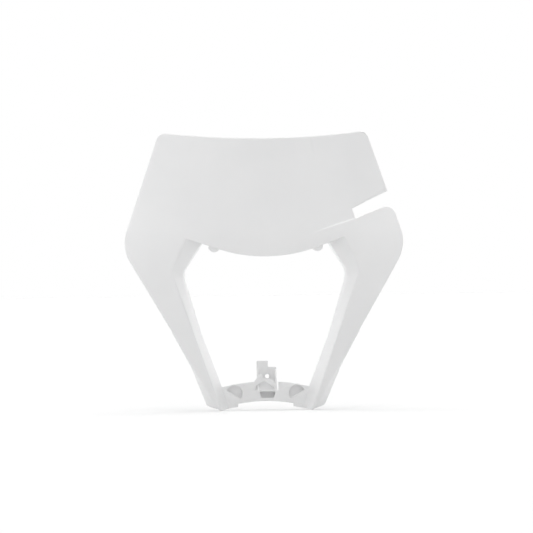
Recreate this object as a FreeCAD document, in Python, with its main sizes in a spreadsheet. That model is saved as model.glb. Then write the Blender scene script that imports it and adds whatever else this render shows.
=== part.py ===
"""Moulded headlight mask for an off-road motorbike, one solid.

Frame: X to the right seen from the front, Y to the rear, Z up, millimetres.
Origin: midway between the two lamp bosses, on the rear face the lamp is screwed to.
"""
import FreeCAD
import Part
import Sketcher
import math
import os

SIZES = [
    ("wall", 2.5, "thickness of the moulded skin"),
    ("plan_radius", 260, "radius of the front curve in plan, at the nose"),
    ("nose_y", -30, "foremost point of the side profile before rounding"),
    ("nose_z", -9.8, "height of that point"),
    ("brow_lean", 12.8, "backward lean of the number plate, degrees"),
    ("leg_lean", 10.8, "backward lean of the legs, degrees"),
    ("nose_round", 150, "radius of the side profile at the nose"),
    ("skin_sweep", 110, "angle the skin is revolved through before it is trimmed, degrees"),
    ("margin", 15, "how far shaping solids run past the outline"),
    ("top_mid_z", 107, "low point of the bowed top edge, as a sharp corner"),
    ("top_bow_radius", 800, "radius of the top edge"),
    ("top_corner_x", 108.5, "half width at the top corners"),
    ("top_corner_z", 119.8, "height of the top corners"),
    ("top_corner_radius", 9, "rounding of the top corners"),
    ("wing_x", 149.3, "half width at the wings, as a sharp corner"),
    ("wing_z", 0.4, "height of the wing corner"),
    ("wing_radius", 39, "rounding of the wings"),
    ("foot_x", 49.5, "half width of the leg fronts at the feet"),
    ("foot_z", -169.7, "height of the lower ends of the legs"),
    ("visor_corner_x", 81.9, "half width of the visor edge"),
    ("visor_corner_z", 8.8, "height of the visor edge at its ends"),
    ("visor_mid_z", -19.4, "low point of the visor edge, as a sharp corner"),
    ("visor_radius", 155, "radius of the visor edge"),
    ("surround_top_z", 19.7, "height of the hidden upper ends of the lamp surround"),
    ("surround_mid_z", -97.1, "height of the bend half way down the lamp surround"),
    ("surround_low_z", -177.3, "height the lamp surround is drawn down to"),
    ("crease_top_x", 76.6, "half width of the front crease at the top"),
    ("crease_elbow_x", 97.9, "half width of the front crease at the elbow"),
    ("crease_elbow_z", -23.9, "height of the front crease at the elbow"),
    ("crease_mid_x", 72.4, "half width of the front crease at the bend"),
    ("crease_low_x", 44.4, "half width of the front crease at the foot"),
    ("bevel_top_x", 55.4, "half width at the rear of the bevel, top"),
    ("bevel_elbow_x", 86.8, "half width at the rear of the bevel, elbow"),
    ("bevel_elbow_z", -27.9, "height at the rear of the bevel, elbow"),
    ("bevel_mid_x", 68.1, "half width at the rear of the bevel, bend"),
    ("bevel_low_x", 39.6, "half width at the rear of the bevel, foot"),
    ("lip_top_x", 52.5, "half width at the rear of the lip, top"),
    ("lip_elbow_x", 83.6, "half width at the rear of the lip, elbow"),
    ("lip_elbow_z", -26.8, "height at the rear of the lip, elbow"),
    ("lip_mid_x", 62.9, "half width at the rear of the lip, bend"),
    ("lip_low_x", 32.6, "half width at the rear of the lip, foot"),
    ("bevel_depth", 9, "depth of the bevel behind the front crease"),
    ("lip_depth", 15, "depth of the lip behind the bevel"),
    ("surround_grow", 3.25, "thickness of the lamp surround across the opening"),
    ("elbow_radius", 18, "rounding of the elbows of the lamp surround"),
    ("bend_radius", 260, "rounding of the bend half way down"),
    ("slot_x", 92.7, "inner end of the hose slot, middle"),
    ("slot_z", 33.2, "inner end of the hose slot, height"),
    ("slot_angle", 20.8, "rise of the lower edge of the hose slot towards the mouth, degrees"),
    ("slot_flare", 3.5, "how much steeper the upper edge of the slot rises, degrees"),
    ("slot_width", 10.6, "width of the hose slot at its inner end"),
    ("mouth_x", 134.3, "rounded lower corner of the slot mouth, as a sharp corner"),
    ("mouth_radius", 10, "rounding of that corner"),
    ("mouth_fall", 69.5, "slope of the edge below the slot mouth, degrees"),
    ("step_x", 41, "inner end of the step below the dish"),
    ("step_z", 11.3, "height of the inner end of the step"),
    ("valley_top_x", 71, "valley of the dish at the top of the plate"),
    ("valley_top_z", 110, "height of that place"),
    ("valley_slot_x", 91.3, "valley of the dish at the slot"),
    ("valley_slot_z", 38.5, "height of that place"),
    ("dish_top_depth", 3, "depth of the dish at the top of the plate"),
    ("dish_slot_depth", 7, "depth of the dish at the slot"),
    ("dish_top_width", 36, "width of the slope into the dish at the top"),
    ("dish_slot_width", 50, "width of the slope into the dish at the slot"),
    ("dish_bend", 4, "angle at which the slope leaves the plate, degrees"),
    ("foot_inner_x", 47.6, "half width where the foot ends start to rise inwards"),
    ("foot_rise", 9.8, "rise of the foot ends towards the middle, degrees"),
    ("flank_start_z", -87, "height where the leg flanks begin"),
    ("flank_mid_x", 78.5, "half width of the flank edge part way down"),
    ("flank_mid_z", -124.2, "height of that place"),
    ("flank_foot_x", 61.8, "half width of the flank edge at the foot"),
    ("flank_foot_z", -165.5, "height of that corner"),
    ("flank_bend", 80, "rounding of the flank edge part way down"),
    ("flank_foot_radius", 6, "rounding of the flank edge at the foot"),
    ("flank_tilt", 60, "angle of the flanks to the front, degrees"),
    ("bar_y", 26.4, "rear face of the crossbar"),
    ("bar_thick", 3, "thickness of the crossbar"),
    ("bar_top_z", -137, "top edge of the crossbar in the middle, as a sharp corner"),
    ("bar_top_radius", 180, "radius of that edge"),
    ("bar_end_x", 46.7, "half length of the crossbar at its top"),
    ("bar_end_z", -145.9, "height of the top edge at its ends"),
    ("bar_low_x", 39.4, "half length of the crossbar at its foot"),
    ("bar_under_z", -158.5, "lower edge of the crossbar in the middle, as a sharp corner"),
    ("bar_under_radius", 160, "radius of that edge"),
    ("bar_under_x", 28.8, "half width of the lower edge up to its step"),
    ("bar_under_end_z", -163.4, "height of the lower edge at its step"),
    ("peg_x", 32.4, "half spacing of the fender pegs"),
    ("peg_z", -152.6, "height of the fender pegs"),
    ("peg_radius", 5.5, "radius of the fender pegs"),
    ("peg_length", 12, "length of the pegs behind their cups"),
    ("cup_radius", 8.3, "radius of the round cups in the crossbar, open to the front"),
    ("cup_wall", 1.5, "thickness of the cup walls"),
    ("cup_length", 2.5, "length of the cups behind the crossbar"),
    ("gusset_z", -172.9, "apex of the slanted lower edges of the hollows"),
    ("gusset_rise", 30, "slant of these edges, degrees"),
    ("boss_x", 53.5, "half spacing of the lamp bosses"),
    ("boss_radius", 5.5, "radius of the lamp bosses"),
    ("pilot_radius", 2.1, "radius of the screw holes in the bosses"),
    ("pilot_depth", 14, "depth of these holes"),
    ("rib_height", 30, "height of the ribs above the bosses"),
    ("rib_thick", 2, "thickness of ribs and cheeks"),
    ("tab_setback", 9, "distance of the adjuster tab behind the crossbar front"),
    ("tab_left_x", -8.7, "left edge of the tab"),
    ("tab_step_x", 3.1, "step in the upper edge of the tab"),
    ("tab_right_x", 11.9, "right edge of the tab"),
    ("tab_top_z", -119, "height of the tab, left of the step"),
    ("tab_low_top_z", -125.5, "height of the tab, right of the step"),
    ("tab_under_z", -159, "lower end of the tab behind the crossbar"),
    ("ramp_front_z", -149.2, "height of the ramp at the crossbar"),
    ("ramp_back_z", -139.5, "height of the ramp at the tab"),
    ("cheek_top_z", -127, "height of the cheeks at the tab"),
    ("screw_x", 2.2, "place of the adjuster screw hole"),
    ("screw_z", -135, "height of the adjuster screw hole"),
    ("screw_radius", 2.2, "radius of the adjuster screw hole"),
    ("pocket_left_x", -6.5, "left end of the pocket under the tab"),
    ("pocket_right_x", 10.5, "right end of the pocket"),
    ("pocket_top_z", -151, "upper edge of the pocket"),
    ("pocket_low_z", -157.6, "lower edge of the pocket"),
    ("pocket_taper", 2.2, "how far each end of the pocket closes towards its lower edge"),
    ("notch_left_x", -10.4, "left end of the notch in the top of the crossbar, ahead of the ramp"),
    ("notch_right_x", 13.3, "right end of the notch"),
    ("arm_root_x", -12.6, "left clip arm, upper end of its root in the crossbar"),
    ("arm_root_z", -141.3, "left clip arm, height of that corner"),
    ("arm_under_x", -11.1, "left clip arm, lower end of its root"),
    ("arm_under_z", -145.4, "left clip arm, height of that corner"),
    ("arm_crown_x", -6.2, "left clip arm, outer corner of its tip"),
    ("arm_crown_z", -133, "left clip arm, height of its tip"),
    ("arm_tip_x", -3.6, "left clip arm, inner corner of its tip"),
    ("arm_joint_x", -1.3, "apex of the arch under both clip arms"),
    ("arm_joint_z", -139.7, "height of that apex"),
    ("arm_shoulder_x", 4.6, "right clip arm, top of its bend"),
    ("arm_shoulder_z", -137.4, "right clip arm, height of its bend"),
    ("arm_bow_x", 10.6, "right clip arm, outer bend"),
    ("arm_bow_z", -144.2, "right clip arm, height of its outer bend"),
    ("arm_inner_x", 8.5, "right clip arm, inner bend"),
    ("arm_inner_z", -146.3, "right clip arm, height of its inner bend"),
    ("arm_foot_x", 11.7, "right clip arm, outer end of its foot on the crossbar"),
    ("arm_foot_width", 2.1, "right clip arm, width of its foot"),
    ("arm_round", 1.1, "rounding of the clip arms"),
]

doc = FreeCAD.newDocument("headlight_mask")
sheet = doc.addObject("Spreadsheet::Sheet", "Sizes")
for row, (alias, value, note) in enumerate(SIZES, 1):
    sheet.set(f"A{row}", note)
    sheet.set(f"B{row}", str(value))
    sheet.setAlias(f"B{row}", alias)
doc.recompute()


def size(alias):
    """A driving dimension, as a number."""
    return float(getattr(sheet, alias))


def cell(alias, sign=""):
    """A driving dimension, as an expression."""
    return f"{sign}Sizes.{alias}"


def new_sketch(body, name, role, **offsets):
    """A sketch on one of the body's base planes, moved by expressions for its offset."""
    sketch = body.newObject("Sketcher::SketchObject", name)
    plane = [item for item in body.Origin.OriginFeatures if item.Role == role][0]
    sketch.AttachmentSupport = [(plane, "")]
    sketch.MapMode = "FlatFace"
    for axis, expression in offsets.items():
        sketch.setExpression(f".AttachmentOffset.Base.{axis}", expression)
    return sketch


def bend_at(points, radii, i):
    """Start, centre and end of the rounding at corner i of a closed outline."""
    point = points[i]
    before = (points[i - 1] - point).normalize()
    after = (points[(i + 1) % len(points)] - point).normalize()
    half = before.getAngle(after) / 2
    reach = radii[i] / math.tan(half)
    middle = (before + after).normalize()
    centre = point + middle * (radii[i] / math.sin(half))
    return point + before * reach, centre, point + after * reach


def draw_profile(sketch, corners):
    """Closed outline through corners (across, up, rounding), each an expression.

    Every sharp corner is a construction point tied to the sheet. The edges run through
    these points, and a corner with a rounding gets an arc tangent to both edges.
    """
    value = sketch.evalExpression
    points = [FreeCAD.Vector(float(value(c[0])), float(value(c[1])), 0) for c in corners]
    radii = [float(value(c[2])) if len(c) > 2 else 0.0 for c in corners]
    count = len(corners)
    bends = [bend_at(points, radii, i) for i in range(count)]
    marks = [sketch.addGeometry(Part.Point(point), True) for point in points]
    edges = []
    for i in range(count):
        line = Part.LineSegment(bends[i][2], bends[(i + 1) % count][0])
        edges.append(sketch.addGeometry(line))
    for i, corner in enumerate(corners):
        for kind, text in (("DistanceX", corner[0]), ("DistanceY", corner[1])):
            datum = Sketcher.Constraint(kind, -1, 1, marks[i], 1, float(value(text)))
            index = sketch.addConstraint(datum)
            sketch.setExpression(f"Constraints[{index}]", text)
        last = edges[i - 1]
        following = edges[i]
        if radii[i] == 0.0:
            sketch.addConstraint(Sketcher.Constraint("Coincident", last, 2, marks[i], 1))
            sketch.addConstraint(Sketcher.Constraint("Coincident", following, 1, marks[i], 1))
            continue
        first, centre, second = bends[i]
        left_turn = (first - centre).cross(second - centre).z > 0
        near, far = (1, 2) if left_turn else (2, 1)
        angles = [math.atan2(p.y - centre.y, p.x - centre.x) for p in (first, second)]
        if not left_turn:
            angles.reverse()
        circle = Part.Circle(centre, FreeCAD.Vector(0, 0, 1), radii[i])
        bend = sketch.addGeometry(Part.ArcOfCircle(circle, *angles))
        sketch.addConstraint(Sketcher.Constraint("PointOnObject", marks[i], 1, last))
        sketch.addConstraint(Sketcher.Constraint("PointOnObject", marks[i], 1, following))
        sketch.addConstraint(Sketcher.Constraint("Tangent", last, 2, bend, near))
        sketch.addConstraint(Sketcher.Constraint("Tangent", bend, far, following, 1))
        index = sketch.addConstraint(Sketcher.Constraint("Radius", bend, radii[i]))
        sketch.setExpression(f"Constraints[{index}]", corner[2])


def mirrored(half):
    """Corners of a symmetric outline from its right half, listed from top to bottom."""
    other = []
    for corner in reversed(half):
        if corner[0] != "0":
            other.append((f"-({corner[0]})",) + corner[1:])
    return half + other


def pad_through(name, corners):
    """A prism that runs along Y through the whole mask."""
    body = doc.addObject("PartDesign::Body", name)
    sketch = new_sketch(body, name + "_sketch", "XZ_Plane")
    draw_profile(sketch, corners)
    pad = body.newObject("PartDesign::Pad", name + "_pad")
    pad.Profile = sketch
    pad.Midplane = True
    pad.setExpression("Length", "2 * Sizes.plan_radius")
    return body


def front_centre(z):
    """Y of the rounded side profile at height z, in the middle plane."""
    brow = math.radians(size("brow_lean"))
    leg = math.radians(size("leg_lean"))
    rise = z - size("nose_z")
    radius = size("nose_round")
    reach = radius * math.tan((brow + leg) / 2)
    if rise >= reach * math.cos(brow):
        return size("nose_y") + rise * math.tan(brow)
    if rise <= -reach * math.cos(leg):
        return size("nose_y") - rise * math.tan(leg)
    centre_rise = reach * math.cos(brow) - radius * math.sin(brow)
    centre_y = size("nose_y") + reach * math.sin(brow) + radius * math.cos(brow)
    return centre_y - math.sqrt(radius ** 2 - (rise - centre_rise) ** 2)


def front_y(x, z):
    """Y of the front face of the skin at a place seen from the front."""
    axis_y = size("nose_y") + size("plan_radius")
    return axis_y - math.sqrt((axis_y - front_centre(z)) ** 2 - x ** 2)


def skin_layer(name, outer, inner):
    """A layer of the revolved skin between two depths below its front face."""
    body = doc.addObject("PartDesign::Body", name)
    sketch = new_sketch(body, name + "_sketch", "YZ_Plane", x="Sizes.nose_y + Sizes.plan_radius")
    top = "Sizes.top_corner_z + Sizes.margin"
    low = "Sizes.foot_z - Sizes.margin"
    brow = "Sizes.brow_lean * 1 deg"
    leg = "Sizes.leg_lean * 1 deg"
    corners = []
    for depth in (outer, inner):
        shift = f"(({depth}) * (1 / cos({leg}) - 1 / cos({brow})) / (tan({brow}) + tan({leg})))"
        across = f"-Sizes.plan_radius + ({depth}) / cos({brow})"
        below = f"-Sizes.plan_radius + ({depth}) / cos({leg})"
        line = [
            (f"{across} + ({top} - Sizes.nose_z) * tan({brow})", top),
            (f"{across} + {shift} * tan({brow})", f"Sizes.nose_z + {shift}", f"Sizes.nose_round - ({depth})"),
            (f"{below} + (Sizes.nose_z - ({low})) * tan({leg})", low),
        ]
        corners += line if not corners else line[::-1]
    draw_profile(sketch, corners)
    turn = body.newObject("PartDesign::Revolution", name + "_turn")
    turn.Profile = sketch
    turn.ReferenceAxis = (sketch, ["V_Axis"])
    turn.Midplane = True
    turn.setExpression("Angle", "Sizes.skin_sweep")
    return body


outline = pad_through("outline", mirrored([
    ("0", cell("top_mid_z"), cell("top_bow_radius")),
    (cell("top_corner_x"), cell("top_corner_z"), cell("top_corner_radius")),
    (cell("wing_x"), cell("wing_z"), cell("wing_radius")),
    (cell("foot_x"), cell("foot_z")),
]))
skin = skin_layer("skin", "0", "Sizes.wall")
depth = skin_layer("depth", "0", "Sizes.bevel_depth + Sizes.lip_depth")


def feature(name, shape):
    """A document object that carries a shape made from the sheet's sizes in code."""
    item = doc.addObject("Part::Feature", name)
    item.Shape = shape
    return item


def rounded_wire(points, radii):
    """Closed wire of straight edges and tangent arcs in a plane across Y."""
    flat = [FreeCAD.Vector(p.x, p.z, 0) for p in points]
    y = points[0].y
    bends = [bend_at(flat, radii, i) for i in range(len(points))]
    edges = []
    for i, (first, centre, second) in enumerate(bends):
        a, c, b = [FreeCAD.Vector(p.x, y, p.y) for p in (first, centre, second)]
        if radii[i] > 0:
            crown = flat[i] - FreeCAD.Vector(centre)
            crown = centre + crown.normalize() * radii[i]
            edges.append(Part.Arc(a, FreeCAD.Vector(crown.x, y, crown.y), b).toShape())
        ahead = bends[(i + 1) % len(bends)][0]
        edges.append(Part.makeLine(b, FreeCAD.Vector(ahead.x, y, ahead.y)))
    return Part.Wire(edges)


def funnel(near, far, near_depth, depth, start_y, end_y, grow):
    """Void of the lamp opening between two flaring rows of corners.

    near and far give the half width and height of each corner where the wall starts and ends,
    near_depth and depth behind the front crease. The wall is straight along Y between the two
    and is carried on to start_y and end_y. grow widens the void by a wall.
    """
    rows = []
    for y in (start_y, end_y):
        half = []
        for crease, (near_x, near_z), (far_x, far_z) in zip(crease_corners, near, far):
            part = (y - front_y(*crease) - near_depth) / depth
            x = near_x + (far_x - near_x) * part + grow
            half.append(FreeCAD.Vector(x, y, near_z + (far_z - near_z) * part))
        other = [FreeCAD.Vector(-p.x, p.y, p.z) for p in reversed(half)]
        bends = [0, size("elbow_radius"), size("bend_radius"), 0]
        rows.append(rounded_wire(half + other, bends + bends[::-1]))
    return Part.makeLoft(rows, True, True)


def corner_row(name):
    """Corners of one row of the lamp surround, from the top down to the foot."""
    return [
        (size(name + "_top_x"), size("surround_top_z")),
        (size(name + "_elbow_x"), size(name + "_elbow_z")),
        (size(name + "_mid_x"), size("surround_mid_z")),
        (size(name + "_low_x"), size("surround_low_z")),
    ]


crease_corners = corner_row("crease")
bevel_corners = corner_row("bevel")
lip_corners = corner_row("lip")
ahead_y = size("nose_y")
bevel_end_y = front_y(*crease_corners[3]) + size("bevel_depth") + size("wall")
lip_end_y = bevel_end_y + size("lip_depth") + size("margin")


def lamp_void(grow):
    """The lamp opening with its bevel and lip, widened by grow."""
    bevel = funnel(crease_corners, bevel_corners, 0, size("bevel_depth"), ahead_y, bevel_end_y, grow)
    lip = funnel(bevel_corners, lip_corners, size("bevel_depth"), size("lip_depth"), ahead_y, lip_end_y, grow)
    return bevel.fuse(lip)


opening = feature("lamp_opening", lamp_void(0))
grown = feature("lamp_opening_grown", lamp_void(size("surround_grow")))


def join(kind, name, items):
    """A boolean of several objects: a union or what they share."""
    result = doc.addObject(kind, name)
    result.Shapes = items
    return result


def cut(name, base, tool):
    """One object with another taken away."""
    result = doc.addObject("Part::Cut", name)
    result.Base = base
    result.Tool = tool
    return result


reach = "Sizes.plan_radius / 2"
visor_slope = "(Sizes.visor_corner_z - Sizes.visor_mid_z) / Sizes.visor_corner_x"
below_visor = pad_through("below_visor", mirrored([
    ("0", cell("visor_mid_z"), cell("visor_radius")),
    (reach, f"Sizes.visor_mid_z + {visor_slope} * {reach}"),
    (reach, "Sizes.foot_z - Sizes.margin"),
]))

run = "Sizes.slot_angle * 1 deg"
half_slot = "Sizes.slot_width / 2"
slot_far = "(Sizes.wing_x + Sizes.margin)"
lower_x = f"Sizes.slot_x + {half_slot} * sin({run})"
lower_z = f"Sizes.slot_z - {half_slot} * cos({run})"
upper_x = f"Sizes.slot_x - {half_slot} * sin({run})"
upper_z = f"Sizes.slot_z + {half_slot} * cos({run})"
mouth_z = f"{lower_z} + (Sizes.mouth_x - ({lower_x})) * tan({run})"
slot = pad_through("hose_slot", [
    (upper_x, upper_z),
    (lower_x, lower_z),
    (cell("mouth_x"), mouth_z, cell("mouth_radius")),
    (slot_far, f"{mouth_z} - ({slot_far} - Sizes.mouth_x) * tan(Sizes.mouth_fall * 1 deg)"),
    (slot_far, f"{upper_z} + ({slot_far} - ({upper_x})) * tan({run} + Sizes.slot_flare * 1 deg)"),
])


def above_step(name, drop, lift):
    """Prism over the part of the plate above the step and the hose slot,
    set lower all along by drop and higher at the far end by lift."""
    slope = f"({lower_z} - Sizes.step_z) / ({lower_x} - Sizes.step_x)"
    return pad_through(name, [
        ("0", f"Sizes.step_z - Sizes.step_x * ({slope}) - ({drop})"),
        (lower_x, f"{lower_z} - ({drop})"),
        (slot_far, f"{lower_z} + ({slot_far} - ({lower_x})) * tan({run}) - ({drop}) + ({lift})"),
        (slot_far, "Sizes.top_corner_z + 2 * Sizes.margin"),
        ("0", "Sizes.top_corner_z + 2 * Sizes.margin"),
    ])


upper_plate = above_step("above_step", "0", half_slot)
upper_plate_grown = above_step("above_step_grown", "Sizes.wall", "0")


def along_valley(top, low, z):
    """A size of the dish at height z, from its values at the top and at the slot."""
    part = (z - size("valley_slot_z")) / (size("valley_top_z") - size("valley_slot_z"))
    return size(low) + (size(top) - size(low)) * part


def dish_section(z, back):
    """Outline across the dish at height z: a slope that bends away from the plate,
    a valley, and a flat flap that meets the plate again at its outer edge."""
    valley_x = along_valley("valley_top_x", "valley_slot_x", z)
    dip = along_valley("dish_top_depth", "dish_slot_depth", z)
    valley = FreeCAD.Vector(valley_x, front_y(valley_x, z) + dip, z)
    left_x = valley_x - along_valley("dish_top_width", "dish_slot_width", z)
    left = FreeCAD.Vector(left_x, front_y(left_x, z), z)
    axis_y = size("nose_y") + size("plan_radius")
    bend = math.asin(left_x / (axis_y - front_centre(z))) + math.radians(size("dish_bend"))
    heading = FreeCAD.Vector(math.cos(bend), math.sin(bend), 0)
    chord = valley - left
    side = FreeCAD.Vector(-heading.y, heading.x, 0)
    radius = chord.Length ** 2 / (2 * chord.dot(side))
    centre = left + side * radius
    crown = (left + valley) * 0.5 - centre
    crown = centre + crown.normalize() * abs(radius)
    slope = (size("wing_x") - size("top_corner_x")) / (size("top_corner_z") - size("wing_z"))
    edge_x = size("top_corner_x") + (size("top_corner_z") - z) * slope + size("wall")
    edge = FreeCAD.Vector(edge_x, front_y(edge_x, z), z)
    start = left - heading * size("margin")
    end = edge + (edge - valley).normalize() * size("margin")
    front = size("nose_y") - size("margin")
    shift = FreeCAD.Vector(0, back, 0)
    corners = [FreeCAD.Vector(end.x, front, z), FreeCAD.Vector(start.x, front, z)]
    edges = [
        Part.makeLine(start + shift, left + shift),
        Part.Arc(left + shift, crown + shift, valley + shift).toShape(),
        Part.makeLine(valley + shift, end + shift),
        Part.makeLine(end + shift, corners[0]),
        Part.makeLine(corners[0], corners[1]),
        Part.makeLine(corners[1], start + shift),
    ]
    return Part.Wire(edges)


def dish_void(back):
    """Space in front of the dish, drawn through four heights, moved back by a wall."""
    top = size("top_corner_z") + size("margin")
    heights = (top, size("valley_slot_z"), size("step_z"), size("nose_z"))
    return Part.makeLoft([dish_section(z, back) for z in heights], True, True)


dish = join("Part::MultiCommon", "dish", [feature("dish_front", dish_void(0)), upper_plate])
dish_rear = feature("dish_rear", dish_void(size("wall")))
dish_back = join("Part::MultiCommon", "dish_back", [dish_rear, upper_plate_grown])
dish_wall = join("Part::MultiCommon", "dish_wall", [cut("dish_layer", dish_back, dish), depth])
skin_cut = cut("skin_cut", skin, dish)
plate = join("Part::MultiFuse", "plate", [skin_cut, dish_wall])
plate_trim = join("Part::MultiCommon", "plate_trimmed", [plate, outline])
hole = join("Part::MultiCommon", "lamp_hole", [opening, below_visor])
plate_open = cut("plate_open", plate_trim, hole)
plate_slot = cut("plate_slotted", plate_open, slot)

behind = skin_layer("behind", "Sizes.wall / 2", "Sizes.plan_radius / 4")
above_feet = pad_through("above_feet", mirrored([
    (reach, "Sizes.top_corner_z"),
    (reach, cell("foot_z")),
    (cell("foot_inner_x"), cell("foot_z")),
    ("0", "Sizes.foot_z + Sizes.foot_inner_x * tan(Sizes.foot_rise * 1 deg)"),
]))
surround_layer = cut("surround_layer", grown, opening)
surround = join("Part::MultiCommon", "surround", [surround_layer, depth, above_feet])


def pad_between(name, corners, rear, length):
    """A plate across Y whose rear face lies at rear, drawn in the front view."""
    body = doc.addObject("PartDesign::Body", name)
    sketch = new_sketch(body, name + "_sketch", "XZ_Plane", z=f"-({rear})")
    draw_profile(sketch, corners)
    pad = body.newObject("PartDesign::Pad", name + "_pad")
    pad.Profile = sketch
    pad.setExpression("Length", length)
    return body


def pad_across(name, corners, left, width):
    """A plate across X whose left face lies at left, drawn in the side view."""
    body = doc.addObject("PartDesign::Body", name)
    sketch = new_sketch(body, name + "_sketch", "YZ_Plane", z=left)
    draw_profile(sketch, corners)
    pad = body.newObject("PartDesign::Pad", name + "_pad")
    pad.Profile = sketch
    pad.setExpression("Length", width)
    return body


def rod(name, radius, x, y, z, length):
    """A round rod along Y."""
    item = doc.addObject("Part::Cylinder", name)
    item.setExpression("Radius", radius)
    item.setExpression("Height", length)
    item.Placement = FreeCAD.Placement(FreeCAD.Vector(), FreeCAD.Rotation(FreeCAD.Vector(1, 0, 0), -90))
    item.setExpression(".Placement.Base.x", x)
    item.setExpression(".Placement.Base.y", y)
    item.setExpression(".Placement.Base.z", z)
    return item


outer_slope = "(Sizes.wing_x - Sizes.foot_x) / (Sizes.wing_z - Sizes.foot_z)"
flank_start_x = f"(Sizes.foot_x + (Sizes.flank_start_z - Sizes.foot_z) * {outer_slope})"
flank_area = pad_through("flank_area", mirrored([
    (flank_start_x, cell("flank_start_z")),
    (cell("flank_mid_x"), cell("flank_mid_z"), cell("flank_bend")),
    (cell("flank_foot_x"), cell("flank_foot_z"), cell("flank_foot_radius")),
    (cell("foot_inner_x"), cell("foot_z")),
]))


def flank_sheet(name, side):
    """Flat sheet through the outer edge of a leg front, turned back by the flank tilt."""
    slope = (size("wing_x") - size("foot_x")) / (size("wing_z") - size("foot_z"))
    top_z = size("flank_start_z")
    top_x = size("foot_x") + (top_z - size("foot_z")) * slope
    top = FreeCAD.Vector(top_x, front_y(top_x, top_z), top_z)
    low = FreeCAD.Vector(size("foot_x"), front_y(size("foot_x"), size("foot_z")), size("foot_z"))
    along = (top - low).normalize()
    out = FreeCAD.Vector(along.z, 0, -along.x).normalize()
    tilt = math.radians(size("flank_tilt"))
    back = out * math.cos(tilt) + FreeCAD.Vector(0, math.sin(tilt), 0)
    inward = back.cross(along).normalize() * size("wall")
    if inward.dot(out) > 0:
        inward = -inward
    first = low - along * size("margin") - back * size("wall")
    over = along * ((top - low).Length + 2 * size("margin"))
    deep = back * (size("bevel_depth") + size("lip_depth"))
    ring = [first, first + over, first + over + deep, first + deep, first]
    if side < 0:
        ring = [FreeCAD.Vector(-p.x, p.y, p.z) for p in ring]
        inward.x = -inward.x
    return feature(name, Part.Face(Part.makePolygon(ring)).extrude(inward))


sheet_right = flank_sheet("flank_sheet_right", 1)
sheet_left = flank_sheet("flank_sheet_left", -1)
flank_right = join("Part::MultiCommon", "flank_right", [sheet_right, flank_area, depth])
flank_left = join("Part::MultiCommon", "flank_left", [sheet_left, flank_area, depth])

foot_step_z = "Sizes.foot_z + (Sizes.foot_inner_x - Sizes.bar_under_x) * tan(Sizes.foot_rise * 1 deg)"
foot_bar_z = "Sizes.foot_z + (Sizes.foot_inner_x - Sizes.bar_low_x) * tan(Sizes.foot_rise * 1 deg)"
bar = pad_between("crossbar", mirrored([
    ("0", cell("bar_top_z"), cell("bar_top_radius")),
    (cell("bar_end_x"), cell("bar_end_z")),
    (cell("bar_low_x"), foot_bar_z),
    (cell("bar_under_x"), foot_step_z),
    (cell("bar_under_x"), cell("bar_under_end_z")),
    ("0", cell("bar_under_z"), cell("bar_under_radius")),
]), cell("bar_y"), cell("bar_thick"))
above_gusset = pad_through("above_gusset", mirrored([
    (reach, "Sizes.top_corner_z"),
    (reach, f"Sizes.gusset_z + {reach} * tan(Sizes.gusset_rise * 1 deg)"),
    ("0", cell("gusset_z")),
]))
bar_front = "Sizes.bar_y - Sizes.bar_thick"
pegs = []
cups = []
for side, sign in (("right", ""), ("left", "-")):
    x = cell("peg_x", sign)
    z = cell("peg_z")
    middle = f"{bar_front} + Sizes.bar_thick / 2"
    cup_rear = "Sizes.cup_length + Sizes.bar_thick / 2"
    pegs.append(rod(f"cup_body_{side}", "Sizes.cup_radius + Sizes.cup_wall", x, middle, z, cup_rear))
    peg_start = f"{middle} + {cup_rear} - Sizes.cup_wall / 2"
    peg_run = "Sizes.peg_length + Sizes.cup_wall / 2"
    pegs.append(rod(f"peg_{side}", cell("peg_radius"), x, peg_start, z, peg_run))
    cup_depth = "Sizes.wall + Sizes.bar_thick + Sizes.cup_length - Sizes.cup_wall"
    cups.append(rod(f"cup_{side}", cell("cup_radius"), x, f"{bar_front} - Sizes.wall", z, cup_depth))
cup_space = join("Part::MultiCommon", "cup_space", [join("Part::MultiFuse", "cup_pair", cups), above_gusset])
pocket = pad_between("pocket", [
    (cell("pocket_left_x"), cell("pocket_top_z")),
    (cell("pocket_right_x"), cell("pocket_top_z")),
    ("Sizes.pocket_right_x - Sizes.pocket_taper", cell("pocket_low_z")),
    ("Sizes.pocket_left_x + Sizes.pocket_taper", cell("pocket_low_z")),
], "Sizes.bar_y + Sizes.wall", "Sizes.bar_thick + 2 * Sizes.wall")

tab_front = f"({bar_front} + Sizes.tab_setback)"
tab = pad_between("tab", [
    (cell("tab_left_x"), cell("tab_top_z")),
    (cell("tab_step_x"), cell("tab_top_z")),
    (cell("tab_step_x"), cell("tab_low_top_z")),
    (cell("tab_right_x"), cell("tab_low_top_z")),
    (cell("tab_right_x"), cell("tab_under_z")),
    (cell("tab_left_x"), cell("tab_under_z")),
], f"{tab_front} + Sizes.wall", cell("wall"))
ramp = pad_across("ramp", [
    (bar_front, cell("ramp_front_z")),
    (tab_front, cell("ramp_back_z")),
    (tab_front, "Sizes.ramp_back_z - Sizes.bar_thick"),
    (f"{bar_front} + Sizes.bar_thick", "Sizes.pocket_top_z"),
    (bar_front, "Sizes.pocket_top_z"),
], cell("notch_left_x"), "Sizes.tab_right_x - Sizes.notch_left_x")
cheek_corners = [
    (bar_front, cell("ramp_front_z")),
    (tab_front, cell("cheek_top_z")),
    (tab_front, cell("tab_under_z")),
    (cell("bar_y") + " - Sizes.bar_thick / 2", cell("tab_under_z")),
    (bar_front, cell("pocket_top_z")),
]
cheek_left = pad_across("cheek_left", cheek_corners, cell("tab_left_x"), cell("rib_thick"))
cheek_right_x = "Sizes.tab_right_x - Sizes.rib_thick"
cheek_right = pad_across("cheek_right", cheek_corners, cheek_right_x, cell("rib_thick"))
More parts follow.
